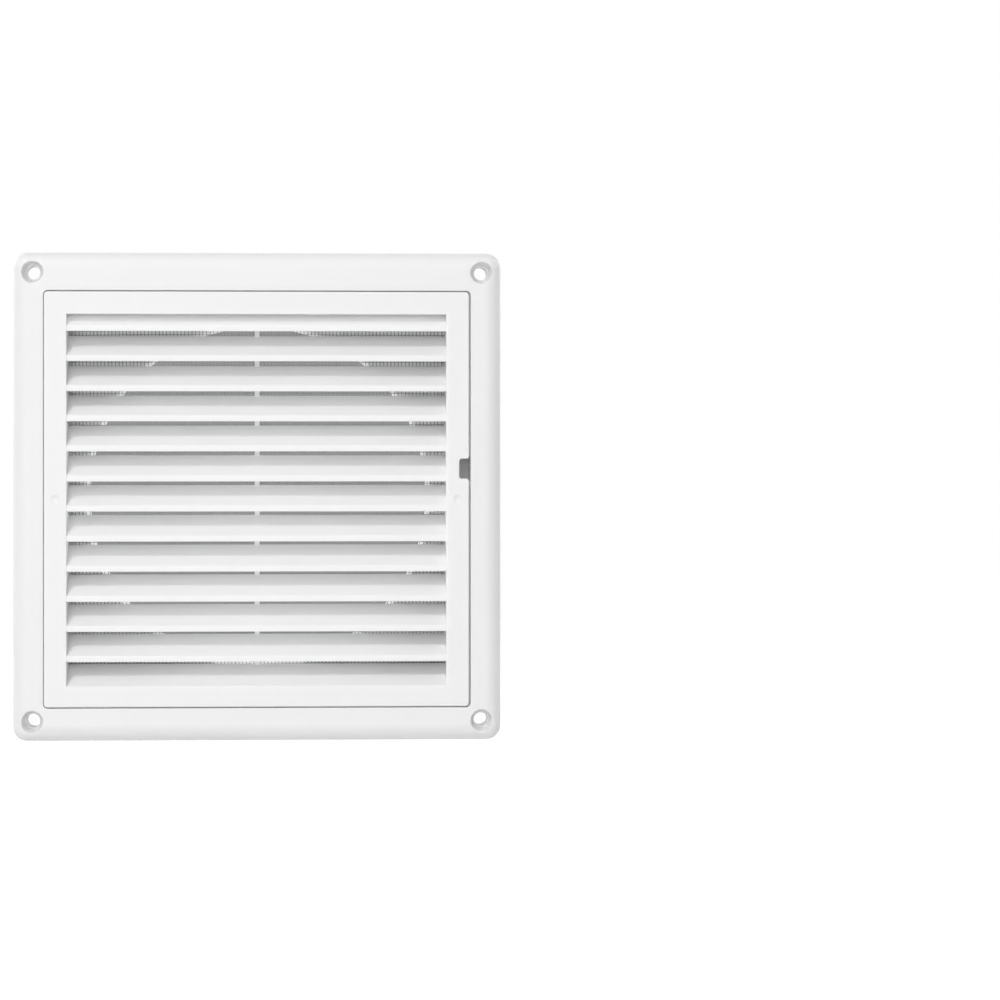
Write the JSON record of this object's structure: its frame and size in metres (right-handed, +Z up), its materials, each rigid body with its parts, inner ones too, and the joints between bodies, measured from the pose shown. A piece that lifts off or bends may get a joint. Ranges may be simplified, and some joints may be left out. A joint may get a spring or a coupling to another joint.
{
  "type": "square vent grille",
  "caption": "Square wall vent grille: a moulded frame with a round duct spigot, a clip-in panel of fixed sloping louvres and an insect screen behind it.",
  "frame": {"origin": "on the axis of the duct spigot, in the plane of the wall that the frame screws to", "axes": "+Y along the spigot into the wall, so the face looks towards -Y; +Z up; +X to the right seen from the front"},
  "size_m": [0.2, 0.044, 0.2],
  "materials": {
    "frame_abs": "satin, fine moulded",
    "panel_abs": "satin, fine moulded",
    "screen_wire": "woven wire, dull"
  },
  "bodies": {
    "root": {"wall_frame": "frame_abs", "louvre_panel": "panel_abs", "insect_screen": "screen_wire"}
  },
  "joints": []
}
